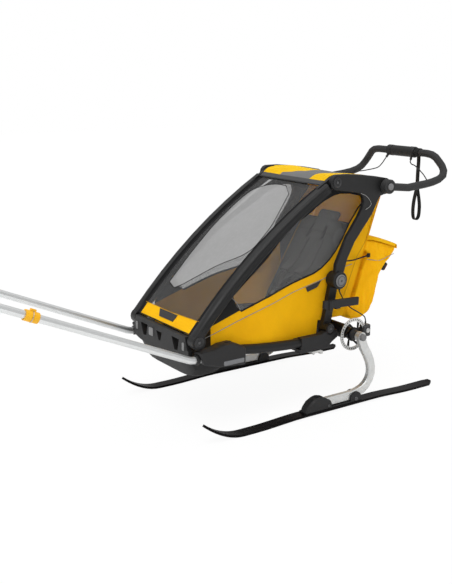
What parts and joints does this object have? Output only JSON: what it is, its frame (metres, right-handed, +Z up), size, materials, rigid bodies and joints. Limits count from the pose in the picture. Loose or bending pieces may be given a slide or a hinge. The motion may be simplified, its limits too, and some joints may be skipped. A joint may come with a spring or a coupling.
{
  "type": "child bike trailer",
  "caption": "Fabric cabin child trailer on skis, with curved struts, long tow arms, folding side frame, push bar with twist brake, and rear cargo bag.",
  "frame": {"origin": "bottom centre of the bounding box, on the ground", "axes": "+X to the trailer's left side, +Y to its rear, +Z up"},
  "size_m": [0.69, 2.6669, 1.0245],
  "materials": {
    "aluminium": "satin",
    "cable_black": "satin",
    "cap_grey": "satin",
    "foam_black": "matte",
    "frame_black": "satin",
    "light_red": "gloss",
    "mesh_fabric": "matte",
    "plastic_black": "matte",
    "rotor_steel": "satin",
    "seat_fabric": "matte",
    "ski_black": "satin",
    "webbing_black": "matte",
    "yellow_fabric": "matte",
    "yellow_strap": "satin"
  },
  "bodies": {
    "base": {"arm_clip_left": "yellow_strap", "arm_clip_right": "yellow_strap", "cargo_bag": "yellow_fabric", "floor_tray": "plastic_black", "front_panel": "plastic_black", "lower_cable_left": "cable_black", "lower_cable_right": "cable_black", "rail_left": "frame_black", "rail_right": "frame_black", "rear_node_left": "plastic_black", "rear_node_right": "plastic_black", "rear_panel": "yellow_fabric", "receiver_left": "plastic_black", "receiver_right": "plastic_black", "seat_pad": "seat_fabric", "side_panel_left": "yellow_fabric", "side_panel_right": "yellow_fabric", "tail_light": "light_red", "tow_arm_left": "aluminium", "tow_arm_right": "aluminium"},
    "front_frame": {"crossbar": "frame_black", "diagonal_left": "frame_black", "diagonal_right": "frame_black"},
    "front_cover": {"front_cover": "mesh_fabric"},
    "top_frame": {"hinge_cap_left": "cap_grey", "hinge_cap_right": "cap_grey", "roof": "yellow_fabric", "upper_frame_left": "plastic_black", "upper_frame_right": "plastic_black"},
    "lower_posts": {"lower_post_left": "frame_black", "lower_post_right": "frame_black", "stow_bracket_left": "plastic_black", "stow_bracket_right": "plastic_black"},
    "handlebar": {"brake_housing": "plastic_black", "handlebar": "foam_black", "upper_cable_left": "cable_black", "upper_cable_right": "cable_black"},
    "twist_grip": {"twist_grip": "foam_black"},
    "wrist_strap": {"wrist_strap": "webbing_black"},
    "tilt_button_left": {"tilt_button_left": "cap_grey"},
    "tilt_button_right": {"tilt_button_right": "cap_grey"},
    "suspension": {"axle_beam": "plastic_black", "caliper_left": "plastic_black", "caliper_right": "plastic_black"},
    "ski_left": {"rotor_left": "rotor_steel", "ski_hub_left": "plastic_black", "ski_left": "ski_black", "ski_mount_left": "plastic_black", "strut_left": "aluminium"},
    "ski_right": {"rotor_right": "rotor_steel", "ski_hub_right": "plastic_black", "ski_mount_right": "plastic_black", "ski_right": "ski_black", "strut_right": "aluminium"},
    "release_button_left": {"release_button_left": "cap_grey"},
    "release_button_right": {"release_button_right": "cap_grey"},
    "adjuster_left": {"adjuster_left": "aluminium"},
    "adjuster_right": {"adjuster_right": "aluminium"},
    "seat_back": {"seat_back": "seat_fabric"}
  },
  "joints": [
    {"name": "frame_fold", "type": "hinge", "parent": "base", "child": "front_frame", "pos_m": [0, 0.05515, 0.369], "axis": [1, 0, 0], "range_deg": [-17.42, 0], "deforming": ["side_panel_left", "side_panel_right", "rear_panel", "cargo_bag", "tail_light", "seat_back", "lower_cable_left", "lower_cable_right"]},
    {"name": "top_fold", "type": "hinge", "parent": "front_frame", "child": "top_frame", "pos_m": [0, 0.71215, 0.921], "axis": [1, 0, 0], "range_deg": [-37.1, 0]},
    {"name": "lower_fold", "type": "hinge", "parent": "base", "child": "lower_posts", "pos_m": [0, 0.69515, 0.32], "axis": [1, 0, 0], "range_deg": [0, 64.1]},
    {"name": "cover_open", "type": "hinge", "parent": "front_frame", "child": "front_cover", "pos_m": [0, 0.65145, 0.90035], "axis": [1, 0, 0], "range_deg": [-110, 0]},
    {"name": "handle_tilt", "type": "hinge", "parent": "top_frame", "child": "handlebar", "pos_m": [0, 0.97515, 0.889], "axis": [1, 0, 0], "range_deg": [-30, 45]},
    {"name": "brake_twist", "type": "hinge", "parent": "handlebar", "child": "twist_grip", "pos_m": [0, 1.30815, 1], "axis": [1, 0, 0], "range_deg": [0, 30]},
    {"name": "strap_swing", "type": "hinge", "parent": "handlebar", "child": "wrist_strap", "pos_m": [0.103, 1.30815, 1], "axis": [1, 0, 0], "range_deg": [-15, 60]},
    {"name": "tilt_press_left", "type": "slide", "parent": "handlebar", "child": "tilt_button_left", "axis": [-1, 0, 0], "range_m": [0, 0.004], "stiffness_N_per_m": 1500, "springref_m": -0.002},
    {"name": "tilt_press_right", "type": "slide", "parent": "handlebar", "child": "tilt_button_right", "axis": [1, 0, 0], "range_m": [0, 0.004], "stiffness_N_per_m": 1500, "springref_m": -0.002},
    {"name": "suspension_travel", "type": "hinge", "parent": "base", "child": "suspension", "pos_m": [0, 0.55715, 0.262], "axis": [1, 0, 0], "range_deg": [-3, 4], "stiffness_Nm_per_rad": 1100, "springref_deg": 0.8, "deforming": ["lower_cable_left", "lower_cable_right"]},
    {"name": "ski_pitch_left", "type": "hinge", "parent": "suspension", "child": "ski_left", "pos_m": [0.32, 0.79315, 0.288], "axis": [1, 0, 0], "range_deg": [-12, 12]},
    {"name": "ski_pitch_right", "type": "hinge", "parent": "suspension", "child": "ski_right", "pos_m": [-0.32, 0.79315, 0.288], "axis": [1, 0, 0], "range_deg": [-12, 12]},
    {"name": "release_press_left", "type": "slide", "parent": "ski_left", "child": "release_button_left", "axis": [-1, 0, 0], "range_m": [0, 0.004], "stiffness_N_per_m": 1500, "springref_m": -0.002},
    {"name": "release_press_right", "type": "slide", "parent": "ski_right", "child": "release_button_right", "axis": [1, 0, 0], "range_m": [0, 0.004], "stiffness_N_per_m": 1500, "springref_m": -0.002},
    {"name": "adjuster_slide_left", "type": "slide", "parent": "base", "child": "adjuster_left", "axis": [0, 1, 0], "range_m": [-0.03, 0.012]},
    {"name": "adjuster_slide_right", "type": "slide", "parent": "base", "child": "adjuster_right", "axis": [0, 1, 0], "range_m": [-0.03, 0.012]},
    {"name": "seat_tip", "type": "hinge", "parent": "base", "child": "seat_back", "pos_m": [0, 0.65493, 0.36633], "axis": [1, 0, 0], "range_deg": [0, 12]}
  ],
  "couplings": [
    {"joint": "top_fold", "follows": "frame_fold", "ratio": 2.1264},
    {"joint": "lower_fold", "follows": "frame_fold", "ratio": -3.6744}
  ]
}
